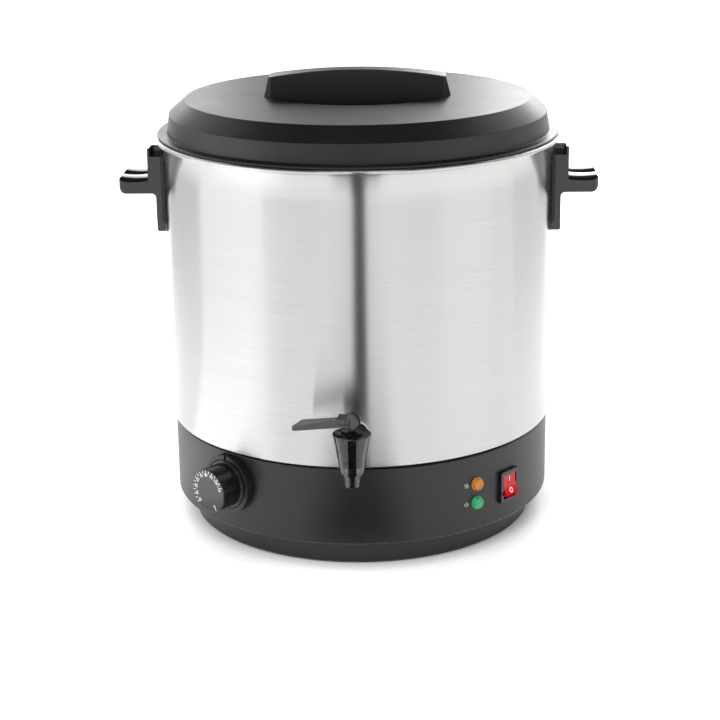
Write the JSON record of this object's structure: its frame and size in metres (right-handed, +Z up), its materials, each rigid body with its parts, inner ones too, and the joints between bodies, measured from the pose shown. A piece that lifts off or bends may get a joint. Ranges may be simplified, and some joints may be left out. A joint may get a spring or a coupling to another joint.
{
  "type": "hot drinks urn",
  "caption": "Electric hot drinks urn: brushed steel tank on a black heater base with thermostat knob, rocker switch and lamps, lever tap and lift-off lid with a grip bar.",
  "frame": {"origin": "on the tank's axis at the floor that the urn stands on", "axes": "+Z up along the tank's axis, the tap points to -Y, +X is to the right seen from the tap side"},
  "size_m": [0.441, 0.4285, 0.4215],
  "materials": {
    "brushed_steel": "fine horizontal brush",
    "satin_black": "satin moulded",
    "gloss_black": "gloss moulded",
    "black_rubber": "matt",
    "smoked_clear": "clear gloss",
    "white_silicone": "matt",
    "plain_steel": "bright zinc",
    "element_sheath": "annealed",
    "aluminium": "plain",
    "brass": "plain",
    "copper": "plain",
    "white_moulding": "moulded",
    "red_rocker": "clear gloss",
    "amber_lens": "clear gloss",
    "green_lens": "clear gloss"
  },
  "bodies": {
    "urn": {"base_gasket": "black_rubber", "base_housing": "satin_black", "bottom_cover": "satin_black", "bulb_clip": "plain_steel", "cable_gland": "gloss_black", "capillary": "copper", "cover_screws": "plain_steel", "element_pins": "brass", "foot_ring": "black_rubber", "gland_nut": "gloss_black", "handle_screws": "plain_steel", "handle_seals": "white_silicone", "heat_plate": "aluminium", "heating_element": "element_sheath", "knob_bezel": "satin_black", "lamp_bodies": "white_moulding", "lamp_lens_amber": "amber_lens", "lamp_lens_green": "green_lens", "lamp_nuts": "gloss_black", "left_handle": "gloss_black", "right_handle": "gloss_black", "switch_bezel": "gloss_black", "switch_housing": "gloss_black", "switch_pivot": "plain_steel", "switch_terminals": "brass", "tank": "brushed_steel", "tank_nuts": "plain_steel", "tank_studs": "plain_steel", "tap_body": "smoked_clear", "tap_bonnet": "gloss_black", "tap_nut": "plain_steel", "tap_spring": "plain_steel", "tap_washers": "white_silicone", "terminal_block": "white_moulding", "terminal_screws": "plain_steel", "thermal_cutouts": "element_sheath", "thermostat_body": "white_moulding", "thermostat_bulb": "copper", "thermostat_screws": "plain_steel"},
    "lid": {"lid_cover": "satin_black", "lid_grip": "satin_black", "lid_grip_screws": "plain_steel"},
    "knob": {"thermostat_knob": "gloss_black", "thermostat_shaft": "plain_steel"},
    "rocker": {"switch_rocker": "red_rocker"},
    "tap_collar": {"tap_slip_ring": "gloss_black"},
    "tap_valve": {"tap_stem": "gloss_black", "tap_valve_seal": "black_rubber"},
    "tap_handle": {"tap_lever": "gloss_black", "tap_pin": "plain_steel"}
  },
  "joints": [
    {"name": "lid_lift", "type": "slide", "parent": "urn", "child": "lid", "axis": [0, 0, 1], "range_m": [0, 0.12]},
    {"name": "knob_turn", "type": "hinge", "parent": "urn", "child": "knob", "pos_m": [-0.11341, -0.13758, 0.069], "axis": [-0.6361, -0.7716, 0], "range_deg": [-210, 75]},
    {"name": "rocker_tilt", "type": "hinge", "parent": "urn", "child": "rocker", "pos_m": [0.13429, -0.11268, 0.058], "axis": [0.6428, 0.766, 0], "range_deg": [0, 22]},
    {"name": "tap_swivel", "type": "hinge", "parent": "urn", "child": "tap_collar", "pos_m": [0, -0.225, 0.148], "axis": [0, 0, 1], "range_deg": [-20, 245]},
    {"name": "tap_stem_lift", "type": "slide", "parent": "tap_collar", "child": "tap_valve", "axis": [0, 0, 1], "range_m": [0, 0.004], "deforming": ["tap_spring"]},
    {"name": "tap_lever_raise", "type": "hinge", "parent": "tap_valve", "child": "tap_handle", "pos_m": [0, -0.225, 0.1526], "axis": [0.3987, 0.9171, 0], "range_deg": [0, 90]}
  ],
  "couplings": [
    {"joint": "tap_stem_lift", "follows": "tap_lever_raise", "m_per_rad": 0.0025465}
  ]
}
